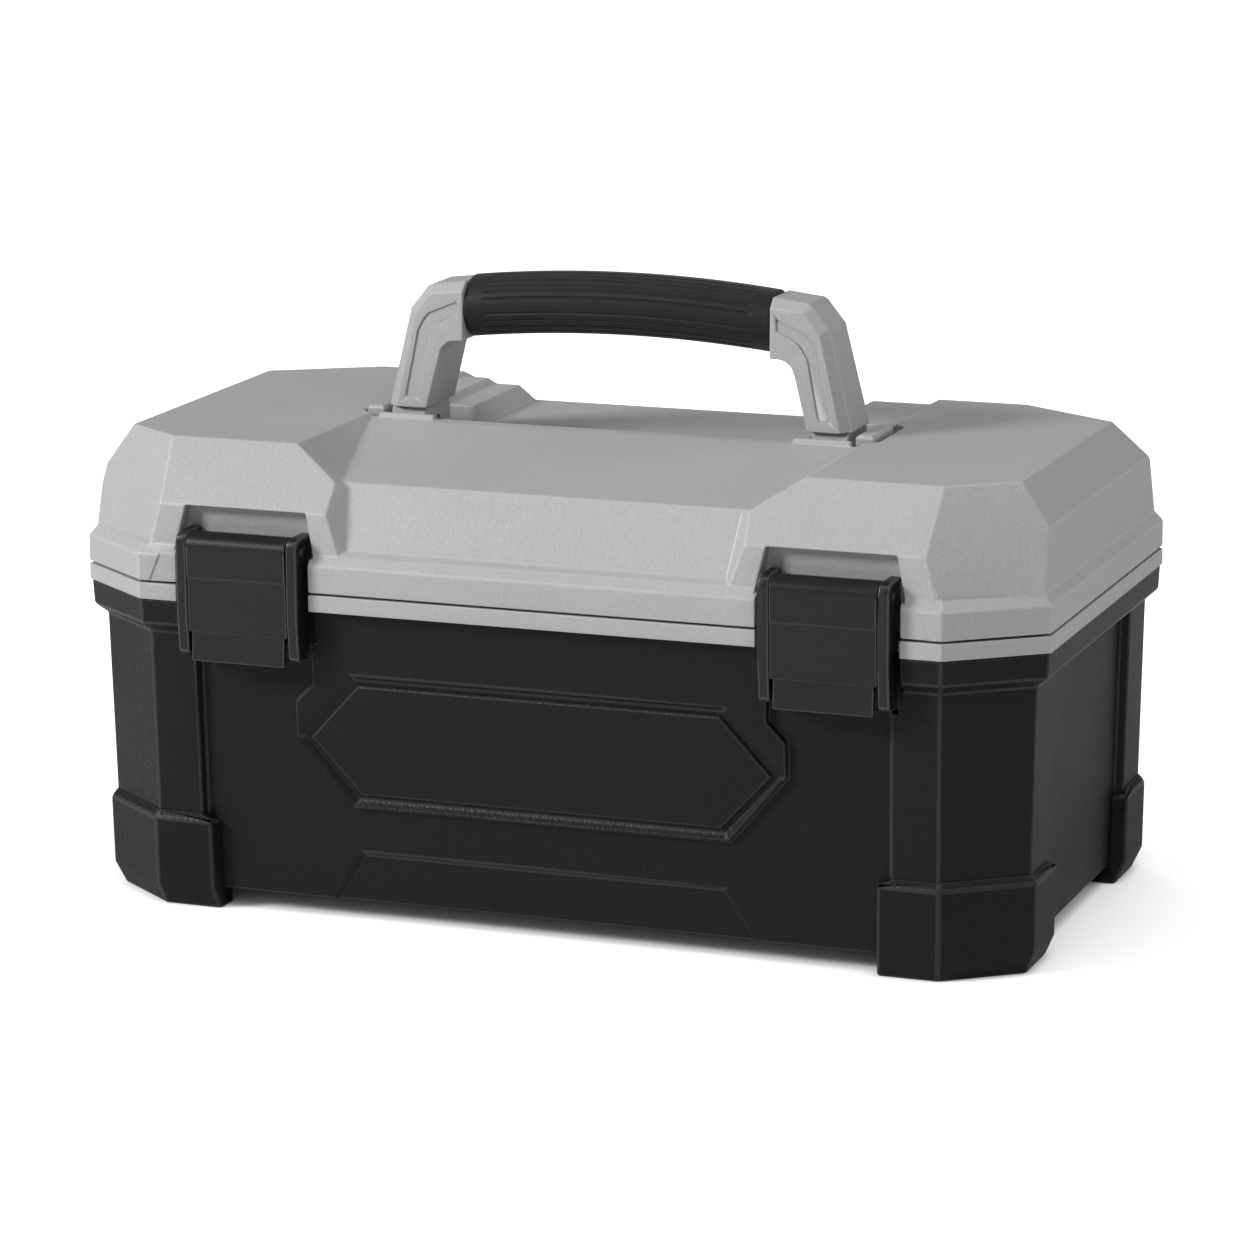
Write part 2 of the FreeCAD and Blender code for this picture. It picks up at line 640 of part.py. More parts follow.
def well(extra):
    """Cut for the well behind the ridge, grown by extra: stepped at its left end and plain at its right."""
    floor = rim_z + well_rise - extra
    step = rim_z + step_rise - extra
    above = top_z + 20
    first = well_half + extra
    second = first + well_step
    third = second + step_land
    last = third + well_step
    left = [(-last, above), (-last, top_z - extra), (-third, step), (-second, step), (-first, floor)]
    plain = plain_well_half + extra
    right = [(plain, floor), (plain + plain_well_run, top_z - extra), (plain + plain_well_run, above)]
    return across_y(left + right, ridge_y - extra, half_y + 20)


def niche(side, grow):
    """Latch niche in the lid's front wall, wider at its foot, grown by grow."""
    top_z_here = rim_z + niche_top_rise + grow
    half_top = niche_half - 3.0 + grow
    half_low = niche_half + 1.5 + grow
    points = [(latch_x - half_low, rim_z + 16), (latch_x - half_top, top_z_here),
              (latch_x + half_top, top_z_here), (latch_x + half_low, rim_z + 16)]
    upper = across_y(points, -half_y - 5, niche_y + grow)
    band = box(latch_x - niche_half - grow, latch_x + niche_half + grow,
               -half_y - 5, niche_y + grow, rim_z - 1, rim_z + 16.5)
    return side_of(side, upper.fuse(band))


def handle_slot(side, grow):
    """Slot in the lid for an arm's foot and its hinge block, grown by grow."""
    x0 = arm_foot_inner - slot_clear - grow
    x1 = slot_end_x + grow
    y0 = -arm_depth / 2 - slot_clear - grow
    y1 = slot_back + grow
    points = [(x0, y0), (x1 - slot_nose, y0), (x1, y0 + slot_nose), (x1, y1 - 2 * slot_nose), (x1 - 2 * slot_nose, y1),
              (x0 - slot_back_wide, y1), (x0 - slot_back_wide, 2 * slot_back_wide), (x0, slot_back_wide)]
    return side_of(side, prism(points, pivot_z - slot_depth - grow, top_z + 30))


def band_dent(side):
    """Shallow step in the lid's band beside a latch."""
    low, high = rim_z + seam, band_top_z + 1
    points = [(latch_x, low), (band_dent_x + band_dent_run, low), (band_dent_x, high), (latch_x, high)]
    return side_of(side, across_y(points, -half_y - 1, -half_y + band_dent_depth))


def slot_lip(side):
    """Low raised lip on the lid in front of an arm."""
    front = -arm_depth / 2 - slot_clear
    x0, x1 = arm_foot_inner - slot_clear - 4.0, arm_foot_inner + arm_width + 2.0
    outline = [(front - 4.0, top_z - 3.0), (front - 3.0, top_z + 0.6), (front, top_z + 0.6), (front, top_z - 3.0)]
    return side_of(side, across_x(outline, x0, x1))


def lid_solid(inset):
    """Lid's dome as a solid block, moved in by inset."""
    right = shoulder(inset)
    middle = saddle(inset)
    band_low = rim_z - 40 if inset else rim_z + seam
    band = slab(inset, band_low, inset, band_top_z)
    slope = slab(inset, band_top_z, dome_inset + inset, dome_z)
    if inset:
        band = slab(dome_inset + inset, band_low, dome_inset + inset, dome_z)
        slope = slab(saddle_foot_setback + inset, dome_z - 1, saddle_foot_setback + inset,
                     rim_z + saddle_foot_rise)
    else:
        slope = slope.fuse(slab(dome_inset, dome_z, saddle_foot_setback, rim_z + saddle_foot_rise))
    body = right.fuse(mirror_x(right)).fuse(middle).fuse(band).fuse(slope)
    return body.cut(well(inset))


def lid_shell():
    body = lid_solid(0.0).cut(box(-BIG, BIG, -BIG, BIG, -BIG, rim_z + seam))
    hollow = lid_solid(wall)
    for side in ("left", "right"):
        body = body.fuse(slot_lip(side)).cut(niche(side, 0.0)).cut(handle_slot(side, 0.0)).cut(band_dent(side))
        hollow = hollow.cut(niche(side, wall)).cut(handle_slot(side, wall))
    body = body.cut(hollow)
    body = body.cut(hinge_space("tub")).cut(hinge_screws("lid")).cut(latch_screws())
    return body.removeSplitter()


# ---------------------------------------------------------------- the latches
def latch_pin_rod(radius):
    """Rod of a latch's pin on the right, through both cheeks of its bracket."""
    half = latch_width / 2
    return rod_x(radius, latch_x - half, latch_x + half, latch_pin_y, latch_pin_z)


def latch_pin(side):
    return side_of(side, latch_pin_rod(latch_pin_r))


def latch_lever(side):
    """Front plate of a latch with its barrel round the pin, its hook and its finger tab."""
    half = latch_width / 2 - latch_cheek - face_gap
    y0 = latch_front_y
    y1 = y0 + latch_thick
    bottom = rim_z - latch_drop
    tab_top = bottom + latch_tab
    crease_z = rim_z + latch_crease_rise
    profile = [(y0, latch_pin_z), (y0, crease_z + latch_crease), (y0 + latch_crease, crease_z),
               (y0 + 2 * latch_crease, tab_top), (y1, tab_top), (y1, latch_pin_z)]
    plate = across_x(profile, latch_x - half, latch_x + half)
    barrel = rod_x(latch_barrel_r, latch_x - half, latch_x + half, latch_pin_y, latch_pin_z)
    tab_half = half - 1.5
    tab = across_x([(y0 + 1.4, tab_top), (y0 + 0.4, bottom), (y0 + 3.4, bottom), (y1, tab_top)],
                   latch_x - tab_half, latch_x + tab_half)
    hook_half = half - 4.0
    lip_y = niche_y - keeper_reach - hook_gap
    hook = across_x([(y1 - 1, rim_z - 25.5), (lip_y, rim_z - 25.5), (lip_y, rim_z - 20.5), (y1 - 1, rim_z - 18.0)],
                    latch_x - hook_half, latch_x + hook_half)
    body = join([plate, barrel, tab, hook])
    return side_of(side, body.cut(latch_pin_rod(latch_pin_r + running)))


def latch_bracket(side):
    """Bracket screwed into the lid's niche: two guards beside the lever, joined by a back plate."""
    outer = latch_width / 2
    inner = outer - latch_cheek
    y0 = latch_front_y + 0.4
    y1 = niche_y - 4.0
    bottom = rim_z - 33.0
    top = rim_z + latch_top_rise
    plate_top = top - latch_barrel_r
    outline = [(y0, top - 5), (y0, rim_z - 14), (y0 + 1.5, bottom + 2), (y0 + 4, bottom),
               (y1 - 4, bottom), (y1 - 1.0, bottom + 6.5), (y1, rim_z - 2), (y1, rim_z + seam + 1),
               (niche_y, rim_z + seam + 1), (niche_y, top), (y0 + 5, top), (y0 + 1.5, top - 1.5)]
    solids = [across_x(outline, latch_x + x0, latch_x + x1) for x0, x1 in ((-outer, -inner), (inner, outer))]
    solids.append(box(latch_x - outer + 1, latch_x + outer - 1, niche_y - 2.2, niche_y, rim_z + seam + 1, plate_top))
    body = join(solids).cut(latch_pin_rod(latch_pin_r))
    for screw_solid in latch_screw_pair():
        body = body.cut(screw_solid)
    return side_of(side, body)


def latch_screw_pair():
    """Two screws that hold the right bracket's back plate to the niche."""
    z = rim_z + latch_screw_rise
    pair = []
    for x in (latch_x - latch_screw_x, latch_x + latch_screw_x):
        shank = rod_y(screw_r, niche_y - 2.2, niche_y + wall, x, z)
        head = rod_y(screw_head_r, niche_y - 3.0, niche_y - 1.4, x, z)
        pair.append(join([shank, head]))
    return pair


def latch_screws():
    """The four screws of both latch brackets."""
    right = latch_screw_pair()
    return group(right + [mirror_x(s) for s in right])


# ---------------------------------------------------------------- the handle
def arm_front_solid(y0, y1):
    """Right arm's outline above its neck, seen from the front, drawn out along Y."""
    foot_z = top_z + arm_neck_height
    low_z = rim_z + grip_end_rise - grip_thick / 2 - face_gap
    high_z = rim_z + arm_top_rise
    points = [(arm_foot_inner, foot_z), (arm_crook_x, low_z), (grip_half, low_z), (grip_half, high_z + face_gap),
              (arm_brow_x, high_z - arm_brow_drop), (arm_shoulder_x, rim_z + arm_shoulder_rise),
              (arm_foot_inner + arm_width, foot_z)]
    crook, brow, shoulder_r = arm_radii
    return rounded_across_y(points, [0, crook, 0, 0, brow, shoulder_r, 0], y0, y1)


def arm_side_outline(shrink=0.0):
    """Side view of an arm, narrower at the top, as (y, z) points."""
    low, high = arm_depth / 2 - shrink, arm_top_depth / 2 - shrink
    z_low, z_high = top_z + arm_neck_height, rim_z + arm_top_rise + 4
    return [(-low, z_low), (low, z_low), (high, z_high), (-high, z_high)]


def handle_arm(side):
    """Arm with a round knuckle in its slot, a chamfer along its outer corners and an inlaid strip."""
    body = arm_front_solid(-arm_depth, arm_depth).common(across_x(arm_side_outline(), 0, half_x))
    body = body.makeChamfer(arm_chamfer, [edge for edge in body.Edges if on_outer_side(edge)])
    x0, x1 = arm_foot_inner + arm_neck_inset, arm_foot_inner + arm_width - arm_neck_inset
    knuckle = rod_x(arm_depth / 2 - arm_neck_inset, x0, x1, 0, pivot_z)
    knuckle = knuckle.common(box(x0, x1, -arm_depth, arm_depth, pivot_z - slot_depth + 1.5, top_z + arm_neck_height))
    body = join([body, knuckle])
    body = body.cut(rod_x(pivot_pin_r + running, 0, half_x, 0, pivot_z))
    body = body.cut(grip_path_solid(core_r, grip_half - 1, grip_half + core_let_in + 1))
    body = body.cut(arm_cover_solid(0.0))
    return side_of(side, body)


def on_outer_side(edge):
    """True for an edge that runs up the front or back of the right arm on its outer side."""
    middle = edge.valueAt((edge.FirstParameter + edge.LastParameter) / 2)
    rise = middle.z - top_z - arm_neck_height
    return edge.BoundBox.YLength < arm_neck_height and rise > 1 and math.hypot(middle.x, rise) > arm_outer_reach


def arm_cover_solid(lower):
    """Inlaid strip on the front face of the right arm, its own face lower than the arm's."""
    strip = rounded_across_y([(x, rim_z + rise) for x, rise in cover_outline], cover_radii, -arm_depth, 0)
    front = across_x(arm_side_outline(lower), 0, half_x)
    return strip.common(front).cut(across_x(arm_side_outline(cover_thick + cover_depth), 0, half_x))


def arm_cover(side):
    return side_of(side, arm_cover_solid(cover_depth))


def grip_radius():
    """Radius of the grip's arch, from its half length and rise."""
    return (grip_half ** 2 + grip_arch ** 2) / (2 * grip_arch)


def grip_z(x):
    """Height of the grip's middle line at x."""
    radius = grip_radius()
    return rim_z + grip_end_rise + grip_arch - radius + math.sqrt(radius ** 2 - x ** 2)


def grip_wire(x0, x1):
    """Arc of the grip's middle line from x0 to x1."""
    mid = (x0 + x1) / 2
    points = [Vector(x, 0, grip_z(x)) for x in (x0, mid, x1)]
    return Part.Wire([Part.Arc(*points).toShape()])


def grip_path_solid(radius, x0, x1):
    """Round bar along the grip's middle line."""
    path = grip_wire(x0, x1)
    edge = path.Edges[0]
    start = edge.valueAt(edge.FirstParameter)
    direction = edge.tangentAt(edge.FirstParameter)
    circle = Part.Wire([Part.makeCircle(radius, start, direction)])
    return path.makePipeShell([circle], True, True)


def handle_core_bar():
    """Steel bar inside the grip, let into both arms."""
    return grip_path_solid(core_r, -grip_half - core_let_in, grip_half + core_let_in)


def grip_sleeve():
    """Rubber sleeve over the core bar, oval in section."""
    path = grip_wire(-grip_half - 3, grip_half + 3)
    edge = path.Edges[0]
    start = edge.valueAt(edge.FirstParameter)
    tangent = edge.tangentAt(edge.FirstParameter)
    oval = Part.Ellipse(Vector(0, 0, 0), grip_depth / 2, grip_thick / 2).toShape()
    oval = Part.Wire([oval])
    up = tangent.cross(Vector(0, -1, 0))
    turn = Rotation(Vector(0, 1, 0), up, tangent, "ZXY")
    oval.Placement = FreeCAD.Placement(start, turn)
    body = path.makePipeShell([oval], True, True)
    body = body.common(box(-grip_half, grip_half, -grip_depth, grip_depth, rim_z, BIG))
    return body.cut(grip_path_solid(core_r, -grip_half - 3, grip_half + 3))


def block_pin_rod(radius, play):
    """Rod of the handle's pivot pin on the right, from inside the arm into its block."""
    x0 = arm_foot_inner + 2.5
    x1 = arm_foot_inner + arm_width + slot_clear * 1.5 + block_width - 2.0
    return rod_x(radius + play, x0, x1, 0, pivot_z)


def handle_pivot_pin(side):
    return side_of(side, block_pin_rod(pivot_pin_r, 0))


def handle_block(side):
    """Hinge block beside an arm's foot, standing in the slot and carrying the pivot pin."""
    x0 = arm_foot_inner + arm_width + slot_clear * 1.5
    x1 = x0 + block_width
    y = block_depth / 2
    body = box(x0, x1, -y, y, pivot_z - slot_depth, top_z + block_proud)
    edges = [e for e in body.Edges if e.BoundBox.ZMin > top_z + block_proud - 0.01]
    body = body.makeChamfer(block_chamfer, edges)
    return side_of(side, body.cut(block_pin_rod(pivot_pin_r, 0)))


# ---------------------------------------------------------------- the tray
tray_half_x = inside_x - tray_clear
tray_half_y = inside_y - tray_clear - 0.5


def tray_block(inset, z_low, z_high):
    """Block with the tray's plan, its ends hanging inside the rests."""
    hull_inset = post_inset + panel_recess + wall + tray_clear + inset
    return slab(hull_inset, z_low, hull_inset, z_high)


def tray_shell():
    """Tray with four compartments round its middle channel."""
    end = tray_half_x - tray_rest_width
    upper = tray_block(0, tray_flange_z, tray_rim_z)
    lower = tray_block(0, tray_floor_z, tray_flange_z)
    lower = lower.common(box(-end, end, -half_y, half_y, tray_floor_z - 1, tray_flange_z + 1))
    body = upper.fuse(lower)
    inner_upper = tray_block(tray_wall, tray_flange_z + tray_wall, tray_rim_z + 1)
    inner_lower = tray_block(tray_wall, tray_floor_z + tray_wall, tray_rim_z + 1)
    inner_lower = inner_lower.common(box(-end + tray_wall, end - tray_wall, -half_y, half_y, 0, BIG))
    body = body.cut(inner_upper.fuse(inner_lower))
    spine = box(-end + 1, end - 1, -tray_spine / 2, tray_spine / 2, tray_floor_z + 1, tray_rim_z - 6)
    cross = box(-tray_wall / 2, tray_wall / 2, -tray_half_y + 1, tray_half_y - 1, tray_floor_z + 1, tray_rim_z - 6)
    body = body.fuse(spine).fuse(cross)
    for sign in (1, -1):
        socket = box(sign * tray_grip_half - tray_post / 2, sign * tray_grip_half + tray_post / 2,
                     -tray_post_depth / 2, tray_post_depth / 2, tray_floor_z + 6, tray_rim_z)
        body = body.cut(socket)
    for x, sign in divider_places():
        body = body.cut(divider(x, sign).common(box(-BIG, BIG, -BIG, BIG, 0, tray_floor_z + tray_wall)))
    return body.removeSplitter()


def tray_handle():
    """Carrying handle of the tray: a bar on two posts that stand in the tray's spine."""
    posts = []
    for sign in (1, -1):
        posts.append(box(sign * tray_grip_half - tray_post / 2, sign * tray_grip_half + tray_post / 2,
                         -tray_post_depth / 2, tray_post_depth / 2, tray_floor_z + 6, tray_grip_z))
    reach = tray_grip_half + tray_post / 2
    bar = box(-reach, reach, -tray_grip_width / 2, tray_grip_width / 2, tray_grip_z - tray_grip_thick, tray_grip_z)
    bar = bar.makeFillet(tray_grip_fillet, [e for e in bar.Edges if e.BoundBox.XLength > 50])
    return join([bar] + posts)


def divider_places():
    """X place and side of each loose divider."""
    return [(x, 1) for x in tray_dividers_rear] + [(x, -1) for x in tray_dividers_front]


def divider(x, sign):
    """Loose cross divider of one compartment row, on the right (+Y) or left (-Y) of the spine."""
    y0, y1 = sorted((sign * (tray_spine / 2 + 0.3), sign * (tray_half_y - tray_wall - 0.3)))
    return box(x - tray_divider_thick / 2, x + tray_divider_thick / 2, y0, y1,
               tray_floor_z + tray_wall - 1.0, tray_rim_z - 8)


def tray_dividers():
    return group([divider(x, sign) for x, sign in divider_places()])


# ---------------------------------------------------------------- write the pieces
def all_pieces():
    pieces = {"tub_shell": tub_shell(), "rim_frame": rim_frame(), "lid_seal": lid_seal(),
              "badge_panel": badge_panel(), "lid_shell": lid_shell()}
    for front, place in ((True, "front"), (False, "rear")):
        pieces["foot_%s_right" % place] = foot(front, True)
        pieces["foot_%s_left" % place] = foot(front, False)
    for side in ("left", "right"):
        pieces["latch_keeper_" + side] = latch_keeper(side)
        pieces["latch_pin_" + side] = latch_pin(side)
        pieces["latch_lever_" + side] = latch_lever(side)
        pieces["latch_bracket_" + side] = latch_bracket(side)
        pieces["tub_hinge_leaf_" + side] = hinge_leaf_piece("tub", side)
        pieces["lid_hinge_leaf_" + side] = hinge_leaf_piece("lid", side)
        pieces["hinge_pin_" + side] = hinge_pin(side)
        pieces["handle_arm_" + side] = handle_arm(side)
        pieces["arm_cover_" + side] = arm_cover(side)
        pieces["handle_block_" + side] = handle_block(side)
        pieces["handle_pivot_pin_" + side] = handle_pivot_pin(side)
    pieces["tub_hinge_screws"] = hinge_screws("tub")
    pieces["lid_hinge_screws"] = hinge_screws("lid")
    pieces["latch_screws"] = latch_screws()
    pieces["handle_core_bar"] = handle_core_bar()
    pieces["grip_sleeve"] = grip_sleeve()
    pieces["tray_shell"] = tray_shell()
    pieces["tray_handle"] = tray_handle()
    pieces["tray_dividers"] = tray_dividers()
    return pieces


os.makedirs("parts", exist_ok=True)
for name, shape in all_pieces().items():
    shape.exportStep("parts/%s.step" % name)
    print("%-24s solids %d  volume %9.0f mm3  valid %s" % (name, len(shape.Solids), shape.Volume, shape.isValid()))
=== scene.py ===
# %% [markdown]
# # A toolbox with a lift-out tray
#
# This lesson dresses a finished set of CAD solids: a black tub on four feet, a grey lid with two
# shoulders, two draw latches, a folding handle with a rubber grip, and a tray that rises with the lid.
# The solids already have the right size and place, so the work here is what moulding adds to them:
# rounded corners, fine grain, ribs in the rubber, crosses in the screw heads, and soft studio light.
# The solids are loaded first and never moved. New pieces could be drawn beside them, but a new piece
# that starts from its solid's own mesh is sure to be in the right place.

# %% Load the solids as a fixed frame
import json
import math

import bmesh
import bpy
from mathutils import Matrix, Vector


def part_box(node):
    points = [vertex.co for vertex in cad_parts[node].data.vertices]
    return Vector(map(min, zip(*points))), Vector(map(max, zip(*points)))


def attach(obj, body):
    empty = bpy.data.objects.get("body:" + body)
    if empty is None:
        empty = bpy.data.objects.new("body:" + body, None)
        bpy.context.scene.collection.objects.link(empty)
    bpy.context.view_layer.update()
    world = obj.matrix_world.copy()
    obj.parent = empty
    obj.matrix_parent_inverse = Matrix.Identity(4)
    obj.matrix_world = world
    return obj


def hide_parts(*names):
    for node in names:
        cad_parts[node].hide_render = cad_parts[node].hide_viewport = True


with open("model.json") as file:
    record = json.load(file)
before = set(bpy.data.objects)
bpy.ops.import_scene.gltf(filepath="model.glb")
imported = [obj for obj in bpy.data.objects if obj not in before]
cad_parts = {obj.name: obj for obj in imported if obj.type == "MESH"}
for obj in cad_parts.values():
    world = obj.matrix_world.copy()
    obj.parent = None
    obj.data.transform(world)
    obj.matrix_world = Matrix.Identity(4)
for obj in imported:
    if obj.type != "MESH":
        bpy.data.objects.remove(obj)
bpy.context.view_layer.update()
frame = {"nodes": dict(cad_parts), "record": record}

MM = 0.001
scene = bpy.context.scene
bodies = frame["record"]["behaviour"]["bodies"]
body_of_node = {node: body for body, nodes in bodies.items() for node in nodes}
slot_of_node = {row["node"]: row["material_slot"] for row in frame["record"]["subparts"]}
print("solids:", len(frame["nodes"]), "on bodies:", sorted(set(body_of_node.values())))

# %% [markdown]
# The camera stands in front of the box, a little to its right and above it, with a long lens, as for
# a catalogue. A long lens keeps the box's edges almost parallel. The turn,
# the dip and the slight roll could be an Euler rotation, but three axes built one after the other
# show what each angle does.

# %% Camera
CAMERA_PLACE = Vector((0.80343, -2.12229, 0.65349))
CAMERA_TURN = math.radians(20.754)
CAMERA_DIP = math.radians(13.115)
CAMERA_ROLL = math.radians(-0.42)
SENSOR_WIDTH = 36.0
LENS = 137.84


def look_axes(turn, dip, roll):
    """The camera's own axes in the scene, as the columns of a rotation."""
    ahead = Vector((-math.sin(turn) * math.cos(dip), math.cos(turn) * math.cos(dip), -math.sin(dip)))
    level = Vector((math.cos(turn), math.sin(turn), 0.0))
    upright = level.cross(ahead)
    right = level * math.cos(roll) + upright * math.sin(roll)
    up = upright * math.cos(roll) - level * math.sin(roll)
    return Matrix((right, up, -ahead)).transposed().to_4x4()


lens = bpy.data.cameras.new("product_lens")
lens.sensor_width = SENSOR_WIDTH
lens.lens = LENS
camera = bpy.data.objects.new("product_camera", lens)
scene.collection.objects.link(camera)
camera.matrix_world = Matrix.Translation(CAMERA_PLACE) @ look_axes(CAMERA_TURN, CAMERA_DIP, CAMERA_ROLL)
scene.camera = camera
print("camera distance:", round(CAMERA_PLACE.length, 3))

# %% [markdown]
# The box stands on a plain white floor under a white sky. A broad key light from the front left gives
# the lid's front faces their brightness, a weaker one from above lifts its slopes, a faint one from
# the right keeps that end from going flat, and the white surroundings fill the rest. The floor and the
# sky look whiter to the camera than they shine on the box, as a lit backdrop does, and the floor's
# extra white fades close to the box, so that a soft shadow stays. A curved backdrop would do the same
# job, but a floor that runs past the view needs no horizon.

# %% Floor, sky and lights
FLOOR_HALF = 9.0
FLOOR_WHITE = 0.90
FLOOR_ROUGHNESS = 0.8
FLOOR_LIFT = 0.74         # light the floor adds for the eye only, like a lit backdrop
SHADE_REACH = 0.16        # that light fades this near to the box
SHADE_RAYS = 8
BACKDROP_WHITE = 1.0
SKY_STRENGTH = 0.27
AIM = Vector((0.0, 0.0, 0.15))


def plain_shader(name, colour, roughness):
    """A material with one colour and one roughness, and its node tree to add to."""
    material = bpy.data.materials.new(name)
    material.use_nodes = True
    shader = material.node_tree.nodes["Principled BSDF"]
    shader.inputs["Base Color"].default_value = (*colour, 1.0)
    shader.inputs["Roughness"].default_value = roughness
    return material, material.node_tree, shader


def studio_light(name, place, size, power):
    """A square area light that points at the middle of the box."""
    lamp = bpy.data.lights.new(name, "AREA")
    lamp.shape = "SQUARE"
    lamp.size = size
    lamp.energy = power
    holder = bpy.data.objects.new(name, lamp)
    scene.collection.objects.link(holder)
    aim = (AIM - Vector(place)).to_track_quat("-Z", "Y")
    holder.matrix_world = Matrix.Translation(place) @ aim.to_matrix().to_4x4()


floor_mesh = bpy.data.meshes.new("studio_floor")
shape = bmesh.new()
bmesh.ops.create_grid(shape, x_segments=1, y_segments=1, size=FLOOR_HALF)
shape.to_mesh(floor_mesh)
shape.free()
studio_floor = bpy.data.objects.new("studio_floor", floor_mesh)
scene.collection.objects.link(studio_floor)
floor_white, floor_tree, floor_shader = plain_shader("white_floor", (FLOOR_WHITE,) * 3, FLOOR_ROUGHNESS)
floor_shader.inputs["Specular IOR Level"].default_value = 0.0
floor_shader.inputs["Emission Color"].default_value = (1.0, 1.0, 1.0, 1.0)
openness = floor_tree.nodes.new("ShaderNodeAmbientOcclusion")
openness.inputs["Distance"].default_value = SHADE_REACH
openness.samples = SHADE_RAYS
eye = floor_tree.nodes.new("ShaderNodeLightPath").outputs["Is Camera Ray"]
lift = floor_tree.nodes.new("ShaderNodeMath")
lift.operation = "MULTIPLY"
lift.inputs[1].default_value = FLOOR_LIFT
floor_tree.links.new(eye, lift.inputs[0])
soft_lift = floor_tree.nodes.new("ShaderNodeMath")
soft_lift.operation = "MULTIPLY"
floor_tree.links.new(lift.outputs["Value"], soft_lift.inputs[0])
floor_tree.links.new(openness.outputs["AO"], soft_lift.inputs[1])
floor_tree.links.new(soft_lift.outputs["Value"], floor_shader.inputs["Emission Strength"])
floor_mesh.materials.append(floor_white)

sky = bpy.data.worlds.new("white_studio")
sky.use_nodes = True
sky.node_tree.nodes["Background"].inputs["Color"].default_value = (1.0, 1.0, 1.0, 1.0)
seen = sky.node_tree.nodes.new("ShaderNodeLightPath").outputs["Is Camera Ray"]
strength = sky.node_tree.nodes.new("ShaderNodeMapRange")
strength.inputs["To Min"].default_value = SKY_STRENGTH
strength.inputs["To Max"].default_value = BACKDROP_WHITE
sky.node_tree.links.new(seen, strength.inputs["Value"])
sky.node_tree.links.new(strength.outputs["Result"], sky.node_tree.nodes["Background"].inputs["Strength"])
scene.world = sky
scene.view_settings.view_transform = "Standard"

studio_light("key_light", (-3.2, -2.7, 2.3), 1.2, 184.0)
studio_light("side_light", (3.2, 1.6, 1.1), 1.0, 16.0)
studio_light("top_light", (0.9, -0.8, 2.5), 1.6, 26.0)

# %% [markdown]
# The lid and the tub are injection moulded in hard plastic from a spark-eroded mould. Such a mould
# leaves a fine, even grain on the faces, and handling polishes the corners first. The grain could be
# a picture laid over the surface, but a procedural pattern in the piece's own space has no seams and
# keeps its true size, one to two millimetres, on every face. Two noises make it: one for the bumps and a
# slow one that makes the plastic a little lighter and shinier in places. The corners that
# the next step rounds carry a mark: there the roughness drops, as polish, and the colour is lighter, a
# painted highlight along each rounded corner.

# %% Moulded plastic
# The rounded strips carry this mark: there the plastic is polished, and a painted highlight lightens it.
CORNER_MARK = "polished_highlit_corner"
PATCH_SCALE = 14.0        # slow noise: patches about 70 mm across
DUST_SCALE = 30.0
SKIN_SCALE = 1600.0       # fine skin of the rubber
ROLLING_SCALE = 90.0


def ramp_between(tree, source, low, high):
    """A value from 0 to 1 mapped onto low to high."""
    spread = tree.nodes.new("ShaderNodeMapRange")
    spread.inputs["To Min"].default_value = low
    spread.inputs["To Max"].default_value = high
    tree.links.new(source, spread.inputs["Value"])
    return spread.outputs["Result"]


def noise(tree, place, scale, detail=2.0):
    """Noise of that scale in the piece's own space."""
    pattern = tree.nodes.new("ShaderNodeTexNoise")
    pattern.inputs["Scale"].default_value = scale
    pattern.inputs["Detail"].default_value = detail
    tree.links.new(place, pattern.inputs["Vector"])
    return pattern.outputs["Fac"]


def mixed(tree, share, first, second):
    """Two colours mixed by a share from 0 to 1. Each is a colour or a node's output."""
    mixer = tree.nodes.new("ShaderNodeMix")
    mixer.data_type = "RGBA"
    tree.links.new(share, mixer.inputs["Factor"])
    for value, socket in ((first, "A"), (second, "B")):
        target = [s for s in mixer.inputs if s.name == socket and s.type == "RGBA"][0]
        if isinstance(value, tuple):
            target.default_value = (*value, 1.0)
        else:
            tree.links.new(value, target)
    return [s for s in mixer.outputs if s.type == "RGBA"][0]


def added(tree, first, second, factor=1.0):
    """first + second * factor, for two values."""
    sum_node = tree.nodes.new("ShaderNodeMath")
    sum_node.operation = "MULTIPLY_ADD"
    tree.links.new(second, sum_node.inputs[0])
    sum_node.inputs[1].default_value = factor
    tree.links.new(first, sum_node.inputs[2])
    return sum_node.outputs["Value"]


